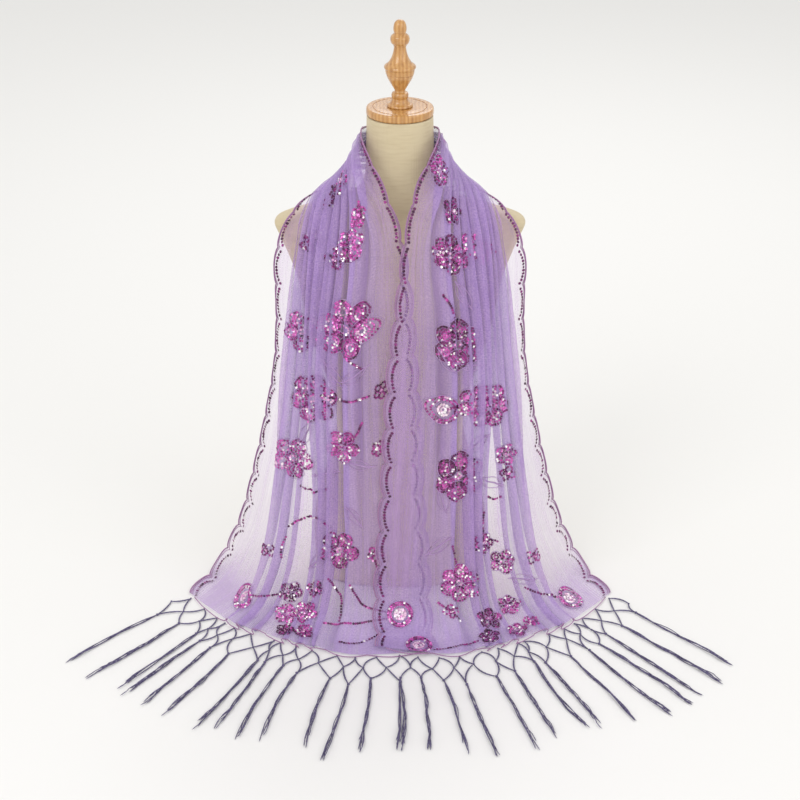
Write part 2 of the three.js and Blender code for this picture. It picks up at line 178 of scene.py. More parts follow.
def net(s, t, side):
    """Points of the pleated net, in metres, with x turned to its own side, and two values: how
    gathered it is there, from 0 to 1.5, and how deep in a pleat's fold, from 0 to 1, which the
    net's material uses as painted shade.

    The ribbon is narrower than the flat cloth, so the cloth's section is a meander whose
    heading is a sine. Its swing follows from the ratio of the two widths, and its sideways and
    outward parts are the first Bessel terms of that meander. Where it is tight the pleats lean
    over outwards: their height is sheared sideways. Small creases are added to it."""
    s, t = (np.asarray(v, float).ravel() for v in np.broadcast_arrays(s, t))
    step = 2.0
    place = gathered(s, t)
    base = ribbon(place, t, side)
    across = ribbon(gathered(s + step, t), t, side) - ribbon(gathered(s - step, t), t, side)
    across /= 2 * step
    along = ribbon(place, t + 0.05, side) - ribbon(place, t - 0.05, side)
    width = np.linalg.norm(across, axis=1)
    ratio = np.clip(width, 0.22, 0.985)
    swing = 2 * np.sqrt(2 * (1 - np.sqrt(ratio)))
    wander = 0.5 * np.sin(0.55 * t + 0.011 * s)
    phase = 2 * math.pi * (s - GATHER_AT[1]) / PLEAT_PITCH + math.pi + wander
    j1 = swing / 2 - swing ** 3 / 16 + swing ** 5 / 384
    j2 = swing ** 2 / 8 - swing ** 4 / 96
    j3 = swing ** 3 / 48 - swing ** 5 / 768
    unit = PLEAT_PITCH / (2 * math.pi)
    tangent = across / width[:, None]
    normal = normalised(np.cross(along, tangent))
    lapped = FLAT_LAP * smooth((t - 1.5) / 1.5) + LOW_FLAT_LAP * smooth((t - 5) / 3)
    fade = smooth((s - lapped) / (30 + lapped / 2)) * smooth((NET_WIDTH - s) / 30)
    pressed = 1 - 0.55 * smooth((t - 8.6) / 1.6) - 0.3 * smooth(1 - t)
    lean = PLEAT_LEAN * smooth((0.95 - ratio) / 0.4)
    upright = 1 - 0.27 * lean
    height = (2 * j1 * (1 + np.cos(phase)) + 2 / 3 * j3 * (1 + np.cos(3 * phase))) * upright
    crease = 0.9 * swing * np.sin(2 * math.pi * s / 17 + 1.3 * np.sin(0.7 * t + s / 60))
    crease += 0.4 * swing * np.sin(2 * math.pi * s / 9.5 + 2.1 * np.sin(0.45 * t + s / 45) + t)
    lift = unit * height * (1 + 0.2 * np.sin(s / 41 + 0.6 * t))
    aside = unit * j2 * np.sin(2 * phase) * upright + lean * lift
    base += tangent * (aside * fade)[:, None]
    base += normal * ((lift + 0.7 * (crease + 2)) * fade * pressed)[:, None]
    base[:, 2] = np.maximum(base[:, 2], 0.8)
    # How deep in a pleat's fold: the net's material darkens the cloth there as painted shade.
    fold_shade = (0.5 - 0.5 * np.cos(phase)) ** 2 * smooth(swing / 1.6) * fade
    return base * (side * MM, MM, MM), np.stack([fullness(s, t, ratio, fade), fold_shade], -1)


def outermost(place, t, side):
    """How far across the flat cloth its outermost layer passes each place on the ribbon: the
    highest of the places tried on either side, less twice its distance sideways."""
    tried = np.clip(ungathered(place, t)[:, None] + np.arange(-48, 49), 0, NET_WIDTH)
    wide = np.broadcast_to(t[:, None], tried.shape)
    at = net(tried, wide, side)[0].reshape(*tried.shape, 3)
    aim, beside, below = (ribbon(p, q, side) * (side * MM, MM, MM)
                          for p, q in ((place, t), (place + 1, t), (place, t + 0.05)))
    step = normalised(beside - aim)
    out = side * normalised(np.cross(below - aim, step))
    offset = at - aim[:, None]
    high = np.einsum("nkc,nc->nk", offset, out)
    aside = np.abs(np.einsum("nkc,nc->nk", offset, step))
    return np.take_along_axis(tried, np.argmax(high - 2 * aside, axis=1)[:, None], axis=1)[:, 0]


def frames(s, t, side):
    """Points on the net with the cloth's own directions there: across, along and outward."""
    at = net(s, t, side)[0]
    across = normalised(net(s + 1.0, t, side)[0] - net(s - 1.0, t, side)[0])
    along = net(s, t + 0.01, side)[0] - net(s, t - 0.01, side)[0]
    out = side * normalised(np.cross(along, across))
    return at, across, np.cross(out, across), out


def run_length(points):
    """Length along each line of points up to each of them."""
    steps = np.linalg.norm(np.diff(points, axis=-2), axis=-1)
    return np.concatenate([0 * steps[..., :1], np.cumsum(steps, axis=-1)], axis=-1)


# Millimetres from the middle of the back to each of TABLE_T's stations, along three lines.
TABLE_T = np.linspace(-3, HEM, 561)
LENGTHS = {(side, place): run_length(ribbon(np.full(len(TABLE_T), place), TABLE_T, side))
           for side in SIDES.values() for place in (0.0, NET_WIDTH / 2, NET_WIDTH)}


def station_at(d, side):
    """The station at d millimetres down the middle of the cloth from the middle of the back."""
    return np.interp(d, LENGTHS[side, NET_WIDTH / 2], TABLE_T)


def scallop(t, side, s):
    """How far the edge stands out from the net's sewn width at station t, in millimetres: a
    narrow border, and once each scallop a swelling with a sharp notch between two of them. It
    is turned partly under behind the neck."""
    turn = np.interp(t, TABLE_T, LENGTHS[side, s]) / SCALLOP_PITCH
    shown = 0.2 + 0.8 * smooth((t + 0.5) / 1.5)
    return (EDGING_WIDTH + SCALLOP_DEPTH * np.abs(np.sin(math.pi * turn)) ** 0.6) * shown


# ---- mesh makers ----
def mesh_piece(name, verts, faces, material, uv=None, values=None, smooth_faces=True):
    """One object from whole arrays: corners, faces with equal numbers of sides, a UV place for
    each corner of the mesh, and named values for each corner."""
    verts, faces = np.asarray(verts, np.float32), np.asarray(faces, np.int32)
    mesh = bpy.data.meshes.new(name)
    count, sides = faces.shape
    mesh.vertices.add(len(verts))
    mesh.vertices.foreach_set("co", verts.ravel())
    mesh.loops.add(count * sides)
    mesh.loops.foreach_set("vertex_index", faces.ravel())
    mesh.polygons.add(count)
    mesh.polygons.foreach_set("loop_start", np.arange(0, count * sides, sides, dtype=np.int32))
    mesh.polygons.foreach_set("use_smooth", np.full(count, smooth_faces))
    if uv is not None:
        layer = mesh.uv_layers.new(name="UVMap")
        layer.data.foreach_set("uv", np.asarray(uv, np.float32)[faces.ravel()].ravel())
    for key, data in (values or {}).items():
        mesh.attributes.new(key, "FLOAT", "POINT").data.foreach_set("value", np.asarray(data, np.float32))
    mesh.update(calc_edges=True)
    mesh.validate()
    mesh.materials.append(material)
    piece = bpy.data.objects.new(name, mesh)
    bpy.context.scene.collection.objects.link(piece)
    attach(piece, "root")
    return piece


def grid_faces(rows, cols, close=False):
    """Four-sided faces of a grid of rows x cols corners, closed round its columns if asked."""
    i, j = np.ogrid[:rows - 1, :cols if close else cols - 1]
    a, b = i * cols + j, i * cols + (j + 1) % cols
    return np.stack([a, b, b + cols, a + cols], -1).reshape(-1, 4)


def tubes(paths, radius):
    """Six-sided cords along many paths at once: paths is cords x points x 3 and radius one
    number or one for each point. Each section is a hexagon across the path. Ends taper and
    are closed by two faces each."""
    paths, sides = np.asarray(paths, float), 6
    cords, points, _ = paths.shape
    way = np.gradient(paths, axis=1)
    way /= np.linalg.norm(way, axis=2, keepdims=True) + 1e-12
    up = np.where(np.abs(way[..., 2:]) > 0.8, (1.0, 0, 0), (0, 0, 1.0))
    side = normalised(np.cross(way, up))
    over = np.cross(side, way)
    size = np.broadcast_to(radius, (cords, points)).copy()
    size[:, [0, -1]] *= 0.12
    a = 2 * math.pi * np.arange(sides) / sides
    ring = side[:, :, None] * np.cos(a)[:, None] + over[:, :, None] * np.sin(a)[:, None]
    verts = paths[:, :, None] + ring * size[:, :, None, None]
    end = np.array([[3, 2, 1, 0], [5, 4, 3, 0]])
    faces = np.concatenate([grid_faces(points, sides, close=True), end,
                            (points - 1) * sides + end[:, ::-1]])
    faces = faces[None] + (np.arange(cords) * points * sides)[:, None, None]
    uv = np.stack(np.broadcast_arrays(np.arange(sides) / sides, run_length(paths)[..., None]), -1)
    return verts.reshape(-1, 3), faces.reshape(-1, 4)[:, ::-1], uv.reshape(-1, 2)


def cord_piece(name, parts, material):
    """One object from the corners, faces and UV places of several sets of cords."""
    starts = np.cumsum([0] + [len(verts) for verts, _, _ in parts[:-1]])
    verts, uv = (np.concatenate([part[k] for part in parts]) for k in (0, 2))
    faces = np.concatenate([part[1] + start for part, start in zip(parts, starts)])
    return mesh_piece(name, verts, faces, material, uv)


def weld(piece):
    """Makes corners in one place one, which closes the poles of a spun or lofted piece."""
    made = bmesh.new()
    made.from_mesh(piece.data)
    bmesh.ops.remove_doubles(made, verts=made.verts, dist=1e-6)
    made.to_mesh(piece.data)
    made.free()


# ---- shader nodes ----
def node(tree, kind, sockets=None, **settings):
    """A shader node: settings are its own properties, sockets its inputs by name or number. A
    socket given as an input is linked, anything else becomes its value."""
    made = tree.nodes.new("ShaderNode" + kind)
    for key, value in settings.items():
        setattr(made, key, value)
    for key, value in (sockets or {}).items():
        if isinstance(value, bpy.types.NodeSocket):
            tree.links.new(value, made.inputs[key])
        else:
            made.inputs[key].default_value = value
    return made


def math_node(tree, operation, *values):
    """Result of one operation on values or sockets."""
    return node(tree, "Math", dict(enumerate(values)), operation=operation).outputs[0]


def mixed(tree, factor, first, second):
    """Colour that runs from first to second as factor runs from 0 to 1."""
    mix = node(tree, "Mix", {0: factor, 6: first, 7: second}, data_type="RGBA")
    return mix.outputs[2]


def ramp(tree, value, stops):
    """Colour ramp of [(place, colour)]."""
    made = node(tree, "ValToRGB", {0: value})
    elements = made.color_ramp.elements
    while len(elements) < len(stops):
        elements.new(0.5)
    for element, (place, tint) in zip(elements, stops):
        element.position, element.color = place, tint
    return made.outputs[0]


def noise(tree, place, scale, detail=2.0, roughness=0.5):
    """Noise from 0 to 1 over a place."""
    return node(tree, "TexNoise", {"Vector": place, "Scale": scale, "Detail": detail,
                                   "Roughness": roughness}).outputs[0]


def colour(red, green, blue):
    """Linear colour of a tint given as it looks on a screen, from 0 to 255."""
    c = np.array([red, green, blue]) / 255
    linear = np.where(c < 0.04045, c / 12.92, ((c + 0.055) / 1.055) ** 2.4)
    return (*linear.tolist(), 1.0)


def shader_group(name, inputs, outputs):
    """An empty group with float inputs {name: value}, a Vector input, and float outputs."""
    tree = bpy.data.node_groups.new(name, "ShaderNodeTree")
    tree.interface.new_socket("Vector", in_out="INPUT", socket_type="NodeSocketVector")
    for key, value in inputs.items():
        made = tree.interface.new_socket(key, in_out="INPUT", socket_type="NodeSocketFloat")
        made.default_value = value
    for key in outputs:
        tree.interface.new_socket(key, in_out="OUTPUT", socket_type="NodeSocketFloat")
    return tree, tree.nodes.new("NodeGroupInput").outputs, tree.nodes.new("NodeGroupOutput").inputs


def grouped(tree, group, vector, **values):
    """A shared group placed in a material with its own values."""
    return node(tree, "Group", {"Vector": vector, **values}, node_tree=group).outputs


def weave_group():
    """Plain weave: two sets of threads at right angles, with slubs where yarns thicken."""
    tree, given, out = shader_group("weave", {"Threads": 1000.0, "Slub": 0.3}, ["Height", "Slubs"])
    split = node(tree, "SeparateXYZ", {0: given["Vector"]})
    threads = []
    for axis, other in (("X", "Z"), ("Z", "X"), ("Y", "Z")):
        turn = math_node(tree, "MULTIPLY", split.outputs[axis], given["Threads"])
        shift = math_node(tree, "MULTIPLY", split.outputs[other], 9.0)
        threads.append(math_node(tree, "SINE", math_node(tree, "ADD", turn, shift)))
    over = math_node(tree, "ADD", threads[0], math_node(tree, "ADD", threads[1], threads[2]))
    stretched = node(tree, "Mapping", {"Vector": given["Vector"], "Scale": (40, 40, 260)})
    slub = noise(tree, stretched.outputs[0], 1.0, 3.0)
    slubs = math_node(tree, "MULTIPLY", slub, given["Slub"])
    tree.links.new(math_node(tree, "MULTIPLY_ADD", over, 0.2, slubs), out["Height"])
    tree.links.new(slub, out["Slubs"])
    return tree


def net_group():
    """Hexagonal net: three sets of fine threads at sixty degrees, on the cloth's own metres."""
    tree, given, out = shader_group("net", {"Threads": 3600.0}, ["Thread"])
    split = node(tree, "SeparateXYZ", {0: given["Vector"]})
    lines = []
    for angle in (0, 60, 120):
        x = math_node(tree, "MULTIPLY", split.outputs[0], math.cos(math.radians(angle)))
        along = math_node(tree, "MULTIPLY_ADD", split.outputs[1], math.sin(math.radians(angle)), x)
        wave = math_node(tree, "SINE", math_node(tree, "MULTIPLY", along, given["Threads"]))
        lines.append(math_node(tree, "MULTIPLY_ADD", wave, 0.5, 0.5))
    most = math_node(tree, "MAXIMUM", lines[0], math_node(tree, "MAXIMUM", lines[1], lines[2]))
    tree.links.new(math_node(tree, "POWER", most, 3.0), out["Thread"])
    return tree


def twist_group():
    """Twisted yarn on a cord's UV: a ply winds round it once each Lay of its length."""
    tree, given, out = shader_group("twist", {"Lay": 0.006, "Plies": 2.0}, ["Height"])
    split = node(tree, "SeparateXYZ", {0: given["Vector"]})
    turns = math_node(tree, "DIVIDE", split.outputs[1], given["Lay"])
    wound = math_node(tree, "MULTIPLY_ADD", split.outputs[0], given["Plies"], turns)
    wave = math_node(tree, "SINE", math_node(tree, "MULTIPLY", wound, 2 * math.pi))
    tree.links.new(math_node(tree, "MULTIPLY_ADD", wave, 0.5, 0.5), out["Height"])
    return tree


WEAVE, NET, TWIST = weave_group(), net_group(), twist_group()


def material(name, **values):
    """A material with its Principled shader, whose plain sockets are set from values."""
    made = bpy.data.materials.new(name)
    made.use_nodes = True
    tree = made.node_tree
    shader = tree.nodes["Principled BSDF"]
    for key, value in values.items():
        shader.inputs[key.replace("_", " ")].default_value = value
    return made, tree, shader.inputs


def bump(tree, inputs, height, distance, strength=0.6):
    """Relief of a height, distance metres deep."""
    made = node(tree, "Bump", {"Height": height, "Distance": distance, "Strength": strength})
    tree.links.new(made.outputs[0], inputs["Normal"])


def coordinates(tree, kind="Object"):
    """Places on the piece in metres, or with kind "UV" on its cloth or cord."""
    return node(tree, "TexCoord").outputs[kind]


def net_material():
    """Sheer lavender net. It is least sheer where the pleats turn edge on, as its gather value says,
    and where two threads cross. Painted shade darkens it deep in the pleats' folds, and painted
    highlights pale it in patches over its crinkles."""
    made, tree, inputs = material("sheer_net", Roughness=0.7, Sheen_Weight=0.25)
    gather = node(tree, "Attribute", attribute_name="gather").outputs["Fac"]
    fold_shade = node(tree, "Attribute", attribute_name="fold_shade").outputs["Fac"]
    uv = coordinates(tree, "UV")
    thread = grouped(tree, NET, uv, Threads=3400.0)["Thread"]
    cloud = noise(tree, uv, 38.0, 3.0)
    drawn = node(tree, "Mapping", {"Vector": uv, "Scale": (150, 5, 1)}).outputs[0]
    streak = noise(tree, drawn, 1.0, 5.0, 0.62)
    crinkle = noise(tree, uv, 420.0, 3.0)
    tint = mixed(tree, gather, colour(190, 146, 212), colour(170, 138, 206))
    # Painted highlight: pale lilac patches where the cloud noise and the crinkles meet.
    crinkle_highlight = math_node(tree, "MULTIPLY", cloud, math_node(tree, "MULTIPLY_ADD", crinkle, 2.4, -0.75))
    tint = mixed(tree, math_node(tree, "MINIMUM", crinkle_highlight, 0.75), tint, colour(222, 192, 236))
    # Painted shade: darker violet deep in each pleat's fold.
    tint = mixed(tree, math_node(tree, "MULTIPLY", fold_shade, 0.8), tint, colour(128, 92, 164))
    tree.links.new(tint, inputs["Base Color"])
    sheer = math_node(tree, "MULTIPLY_ADD", thread, 0.12, -0.21)
    sheer = math_node(tree, "MULTIPLY_ADD", streak, 0.66, sheer)
    sheer = math_node(tree, "MULTIPLY_ADD", crinkle, 0.16, sheer)
    alpha = math_node(tree, "MULTIPLY_ADD", gather, 0.24, sheer)
    alpha = math_node(tree, "MAXIMUM", alpha, 0.06)
    tree.links.new(math_node(tree, "MINIMUM", alpha, 0.85), inputs["Alpha"])
    bump(tree, inputs, math_node(tree, "ADD", crinkle, streak), 0.0012, 0.5)
    return made


def yarn_material(name, dark, light, lay, plies=2.0):
    """Twisted yarn, with painted shade between its plies over a patchy tone."""
    made, tree, inputs = material(name, Roughness=0.75, Sheen_Weight=0.2)
    height = grouped(tree, TWIST, coordinates(tree, "UV"), Lay=lay, Plies=plies)["Height"]
    cloud = noise(tree, coordinates(tree), 55.0)
    # Painted shade between the plies, laid over patchy tone from a noise.
    shade = math_node(tree, "MULTIPLY_ADD", cloud, 0.6, math_node(tree, "MULTIPLY", height, 0.5))
    tree.links.new(mixed(tree, shade, dark, light), inputs["Base Color"])
    bump(tree, inputs, height, 0.0006)
    return made


def sequin_material():
    """Polished dyed film. Each sequin's tone picks plum, magenta, pink or silvery white, and the
    near-white at tone 1 is a painted glint.
    """
    made, tree, inputs = material("sequin_film", Metallic=0.55, Coat_Weight=0.3)
    tone = node(tree, "Attribute", attribute_name="tone").outputs["Fac"]
    # Tone 1 at the top of the ramp is the near-white of painted glints.
    dye = ramp(tree, tone, [
        (0.0, colour(72, 30, 66)), (0.3, colour(140, 50, 124)), (0.55, colour(196, 74, 168)),
        (0.78, colour(222, 122, 200)), (0.93, colour(240, 200, 228)), (1.0, colour(255, 250, 252))])
    tree.links.new(dye, inputs["Base Color"])
    speck = noise(tree, coordinates(tree), 900.0)
    tree.links.new(math_node(tree, "MULTIPLY_ADD", speck, 0.2, 0.12), inputs["Roughness"])
    return made


def linen_material():
    """Cream linen drawn over the form: plain weave with slubs and faint uneven colour."""
    made, tree, inputs = material("cream_linen", Roughness=0.88, Sheen_Weight=0.15)
    place = coordinates(tree)
    weave = grouped(tree, WEAVE, place, Threads=5200.0, Slub=0.8)
    cloud = noise(tree, place, 7.0, 4.0)
    base = mixed(tree, cloud, colour(222, 208, 176), colour(206, 190, 156))
    slub = math_node(tree, "MULTIPLY", math_node(tree, "POWER", weave["Slubs"], 3.0), 1.2)
    tree.links.new(mixed(tree, slub, base, colour(190, 170, 132)), inputs["Base Color"])
    bump(tree, inputs, weave["Height"], 0.0005)
    return made


def wood_material():
    """Golden turned wood under varnish: grain drawn out along the lathe's axis, with growth
    rings that the turning cuts across."""
    made, tree, inputs = material("turned_wood", Coat_Weight=0.6, Coat_Roughness=0.08)
    place = coordinates(tree)
    drawn = node(tree, "Mapping", {"Vector": place, "Scale": (220, 220, 16)}).outputs[0]
    grain = noise(tree, drawn, 1.0, 6.0)
    wide = node(tree, "Mapping", {"Vector": place, "Scale": (60, 60, 7), "Location": (0.4, 0.2, 0)})
    ring = node(tree, "TexWave", {"Vector": wide.outputs[0], "Scale": 0.9, "Distortion": 5.0,
                                  "Detail": 3.0}).outputs["Fac"]
    base = ramp(tree, ring, [(0.0, colour(194, 140, 78)), (0.5, colour(208, 154, 90)),
                             (1.0, colour(216, 168, 104))])
    dark = math_node(tree, "MULTIPLY", math_node(tree, "POWER", grain, 3.0), 1.6)
    tree.links.new(mixed(tree, dark, base, colour(142, 88, 38)), inputs["Base Color"])
    tree.links.new(math_node(tree, "MULTIPLY_ADD", grain, 0.2, 0.2), inputs["Roughness"])
    bump(tree, inputs, grain, 0.0003, 0.3)
    return made


SHEER_NET = net_material()
EDGE_CORD = yarn_material("edge_cord", colour(124, 78, 128), colour(190, 142, 186), 0.004)
MOTIF_CORD = yarn_material("motif_cord", colour(144, 104, 172), colour(202, 166, 212), 0.003)
FRINGE_YARN = yarn_material("fringe_yarn", colour(44, 38, 70), colour(112, 102, 146), 0.007)
SEQUIN_FILM = sequin_material()
LINEN = linen_material()
WOOD = wood_material()


# ---- dress form ----
# Height, half width, depth to the front and depth to the back of the form's sections.
FORM = np.array([
    [0, 136, 66, 92], [6, 139, 69, 95], [70, 141, 78, 100], [130, 136, 82, 98], [200, 117, 80, 86],
    [275, 101, 78, 76], [350, 113, 88, 80], [425, 136, 106, 90], [485, 149, 115, 95],
    [530, 157, 107, 97], [570, 171, 86, 95], [600, 184, 66, 87], [616, 190, 54, 77],
    [623, 186, 48, 70], [632, 160, 44, 64], [643, 118, 44, 60], [655, 86, 46, 56], [668, 64, 47, 52],
    [690, 53, 47, 49], [720, 51, 47, 48], [785, 49, 48, 48]], float)
FORM_ROUNDING = 2.25


def form_torso():
    """Loft of superellipse sections whose width and depths follow splines up the form, closed
    below by a flat base that turns in over a small round."""
    path = run_length(FORM[:, :2])
    rows, cols = 300, 160
    even = np.linspace(0, path[-1], rows)
    section = spline_weights(even, path) @ FORM
    inner = np.array([[section[0, 0], *(section[0, 1:] * k)] for k in (0, 0.5, 0.96, 0.99)])
    inner[-1, 0] += 0.3
    top = np.array([[section[-1, 0], *(section[-1, 1:] * k)] for k in (0.98, 0.5, 0)])
    section = np.concatenate([inner, section + ([0.9, 0, 0, 0] * (even < 3)[:, None]), top])
    a = 2 * math.pi * np.arange(cols) / cols
    x, y = (np.sign(v) * np.abs(v) ** (2 / FORM_ROUNDING) for v in (np.cos(a), np.sin(a)))
    depth = np.where(np.sin(a) < 0, section[:, 2:3], section[:, 3:4])
    verts = np.stack([section[:, 1:2] * x, depth * y, section[:, :1] + 0 * x], -1) * MM
    faces = grid_faces(len(section), cols, close=True)
    piece = mesh_piece("form_linen_cover", verts.reshape(-1, 3), faces, LINEN)
    weld(piece)
    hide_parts("form_torso")


def turned(name, profile, bottom, node_name, sides=96):
    """Lathe work: a profile of smooth runs that meet at sharp edges, spun round the axis. Each
    run is a spline through its points: radius, and height above the bottom, in millimetres."""
    runs = []
    for run in profile:
        run = np.array(run, float) + (0, bottom)
        path = run_length(run)
        runs.append(spline_weights(np.linspace(0, path[-1], 6 * len(run)), path) @ run)
    line = np.concatenate(runs)
    a = 2 * math.pi * np.arange(sides) / sides
    verts = np.stack([line[:, :1] * np.cos(a), line[:, :1] * np.sin(a), line[:, 1:] + 0 * a], -1)
    faces = grid_faces(len(line), sides, close=True)
    piece = mesh_piece(name, verts.reshape(-1, 3) * MM, faces, WOOD)
    weld(piece)
    piece.data.set_sharp_from_angle(angle=math.radians(38))
    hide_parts(node_name)


CAP_BOTTOM = 785.35
CAP = [
    [[0, 0], [45, 0]], [[45, 0], [48.4, 0.6], [49.8, 2.6]], [[49.8, 2.6], [50, 5], [49.9, 8]],
    [[49.9, 8], [49.2, 10.6], [47, 11.7]], [[47, 11.7], [43.5, 11.8], [40.6, 11.8]],
    [[40.6, 11.8], [40, 10.9], [39.2, 10.9], [38.6, 11.8]], [[38.6, 11.8], [28, 12], [14, 12], [0, 12]]]
FINIAL_BOTTOM = CAP_BOTTOM + 12.35
FINIAL = [
    [[0, 0], [18.6, 0]], [[18.6, 0], [19.2, 1.4], [18.4, 3.4]],
    [[18.4, 3.4], [15, 5.4], [12.9, 8.4], [12.2, 11]], [[12.2, 11], [11.6, 11.6], [11.6, 12.6]],
    [[11.6, 12.6], [12.4, 15], [12.5, 18], [11.4, 20.6]], [[11.4, 20.6], [8.3, 22.2], [7.9, 24.6]],
    [[7.9, 24.6], [9.8, 28], [12.9, 33], [15.8, 38], [18.4, 43], [19.8, 47.4]],
    [[19.8, 47.4], [19.4, 48.4], [20.8, 49.2]], [[20.8, 49.2], [21.4, 53], [21.2, 56]],
    [[21.2, 56], [22.9, 57.2], [23.3, 59.4], [22.4, 61.4]],
    [[22.4, 61.4], [16.8, 66], [12.6, 73], [10.2, 80], [9, 86], [8.6, 89.4]],
    [[8.6, 89.4], [9.6, 90.2], [9.4, 91.4]],
    [[9.4, 91.4], [12.8, 94.6], [14.1, 99.6], [13, 104.6], [9.4, 108]],
    [[9.4, 108], [8.6, 108.8], [8.9, 110]],
    [[8.9, 110], [9.6, 114], [9.3, 119], [8, 123.6], [5.4, 126.8], [2.6, 128.2], [0, 128.5]]]


# ---- net, edgings, embroidery and fringe ----
def net_rows(side, t, cols=231):
    """Rows of the net at stations t, each from the neck edge's scallops to the outer edge's: its
    points, its two values and its place on the flat cloth."""
    low, high = -scallop(t, side, 0.0)[:, None], NET_WIDTH + scallop(t, side, NET_WIDTH)[:, None]
    s = low + (high - low) * np.linspace(0, 1, cols)
    points, values = net(s, np.broadcast_to(t[:, None], s.shape), side)
    down = np.interp(t, TABLE_T, LENGTHS[side, NET_WIDTH / 2])[:, None] + 0 * s
    return np.concatenate([points.reshape(*s.shape, 3), values.reshape(*s.shape, 2),
                           np.stack([s, side * down], -1) * MM], axis=-1)


def net_piece(name, rows, node_name):
    """One stretch of the net from its rows, as the sheet that stands for one CAD node."""
    count, cols, _ = rows.shape
    data = rows.reshape(-1, 7)
    piece = mesh_piece(name, data[:, :3], grid_faces(count, cols), SHEER_NET, data[:, 5:],
                       {"gather": data[:, 3], "fold_shade": data[:, 4]})
    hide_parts(node_name)
    return piece


def net_front(word, side):
    """A front, from the shoulder to the hem, in even steps down the cloth."""
    length = LENGTHS[side, NET_WIDTH / 2]
    t = np.interp(np.linspace(np.interp(0, TABLE_T, length), length[-1], 240), length, TABLE_T)
    rows = net_rows(side, t)
    return net_piece(f"net_front_{word}", rows if side < 0 else rows[:, ::-1], f"stole_front_{word}")


def net_back():
    """The stretch behind the neck: the left half's rows from the shoulder to the middle, then
    the right half's."""
    left, right = (net_rows(side, np.linspace(-3, 0, 40)) for side in (-1, 1))
    rows = np.concatenate([left[::-1], right[1:]])
    return net_piece("net_back_neck", rows[:, ::-1], "stole_back_neck")


def edge_cords(side):
    """Both edges' raised cords, just within the scalloped outline, and a finer one inside each."""
    parts = []
    t = np.linspace(-3, HEM, 60 * (HEM + 3) + 1)
    for s in (0.0, NET_WIDTH):
        for inset, radius in ((0.2, 1.15), (3.4, 0.6)):
            reach = scallop(t, side, s) - inset
            at, _, _, out = frames(np.where(s > 0, s + reach, s - reach), t, side)
            at += out * radius * 0.5 * MM
            at[:, 2] = np.maximum(at[:, 2], radius * MM)
            parts.append(tubes(at[None], radius * MM))
    return parts


def discs(at, across, along, out, radius, tilt, rng, sides=8):
    """Cupped round sequins: a rim circle and a sunk middle for each, on the cloth's own
    directions, each tipped a little at random. radius is one number or one for each."""
    n = len(at)
    tip = rng.normal(0, tilt, (n, 2, 1))
    u = across + out * tip[:, 0]
    v = along + out * tip[:, 1]
    k = np.arange(sides)
    a = 2 * math.pi * k / sides
    ring = u[:, None] * np.cos(a)[:, None] + v[:, None] * np.sin(a)[:, None]
    size = np.broadcast_to(radius, n)[:, None, None] * MM
    centre = at + out * (0.9 * MM + rng.uniform(0, 0.5 * MM, (n, 1)))
    rim = centre[:, None] + ring * size
    middle = (centre - out * size[:, 0] * 0.22)[:, None]
    verts = np.concatenate([rim, middle], axis=1)
    fan = np.stack([k, (k + 1) % sides, np.full(sides, sides)], -1)
    faces = fan[None] + (np.arange(n) * (sides + 1))[:, None, None]
    return verts.reshape(-1, 3), faces.reshape(-1, 3)


# Motifs sewn on each half of the net: how far across it, how far down from the middle of the
# back, both in millimetres, and a radius. Petalled flowers end with their number of petals.
FLOWERS = {
    -1: [(158, 381, 46, 6), (346, 393, 34, 5), (280, 498, 40, 6), (340, 605, 34, 5), (168, 569, 27, 5),
         (40, 493, 13, 5), (48, 582, 12, 5), (66, 758, 13, 5), (176, 749, 32, 5), (374, 779, 12, 4),
         (286, 835, 17, 5), (276, 876, 19, 5), (258, 909, 15, 5), (226, 821, 14, 4), (236, 865, 20, 5),
         (216, 902, 15, 5), (224, 163, 20, 5), (288, 180, 19, 5), (116, 227, 15, 5), (166, 260, 22, 6),
         (346, 243, 19, 5), (232, 276, 16, 5), (230, 48, 28, 6), (352, 84, 20, 5)],
    1: [(60, 180, 17, 5), (172, 213, 18, 5), (170, 272, 27, 6), (292, 256, 26, 5), (116, 278, 13, 4),
        (170, 405, 40, 6), (230, 501, 27, 5), (286, 511, 36, 6), (172, 620, 42, 6), (338, 599, 17, 5),
        (336, 632, 13, 4), (242, 743, 17, 5), (165, 806, 32, 6), (290, 781, 20, 5), (372, 790, 13, 4),
        (216, 875, 19, 5), (198, 910, 17, 5), (274, 858, 17, 5), (262, 911, 16, 5), (132, 852, 12, 4),
        (300, 905, 14, 4), (230, 60, 26, 5), (120, 96, 18, 5)]}
# Rings with a silvery middle.
ROUNDS = {-1: [(390, 883, 22)], 1: [(110, 508, 21), (62, 917, 19), (414, 902, 19), (28, 861, 19)]}
# Rows of small sequins between the flowers, as points that they run through.
STEMS = {
    -1: [[(150, 425), (120, 436), (84, 446)], [(330, 495), (240, 490), (150, 494), (62, 492)],
         [(150, 560), (118, 548), (84, 529)], [(300, 650), (262, 655), (215, 645)],
         [(332, 726), (290, 705), (240, 700), (190, 722)], [(66, 772), (60, 795), (64, 815)],
         [(372, 868), (335, 852), (296, 838)], [(138, 807), (100, 842), (50, 857)],
         [(180, 879), (120, 872), (50, 866)], [(134, 907), (95, 902), (50, 880)],
         [(336, 745), (340, 765), (336, 785)], [(196, 800), (160, 830), (150, 870)]],
    1: [[(130, 506), (170, 503), (206, 502)], [(264, 662), (280, 670), (304, 668)],
        [(262, 738), (270, 742), (284, 744)], [(88, 925), (125, 916), (172, 915)],
        [(104, 838), (132, 852), (150, 872)], [(330, 836), (365, 862), (400, 890)],
        [(120, 330), (150, 345), (165, 365)], [(250, 690), (244, 715), (242, 735)],
        [(150, 740), (158, 760), (164, 776)]]}
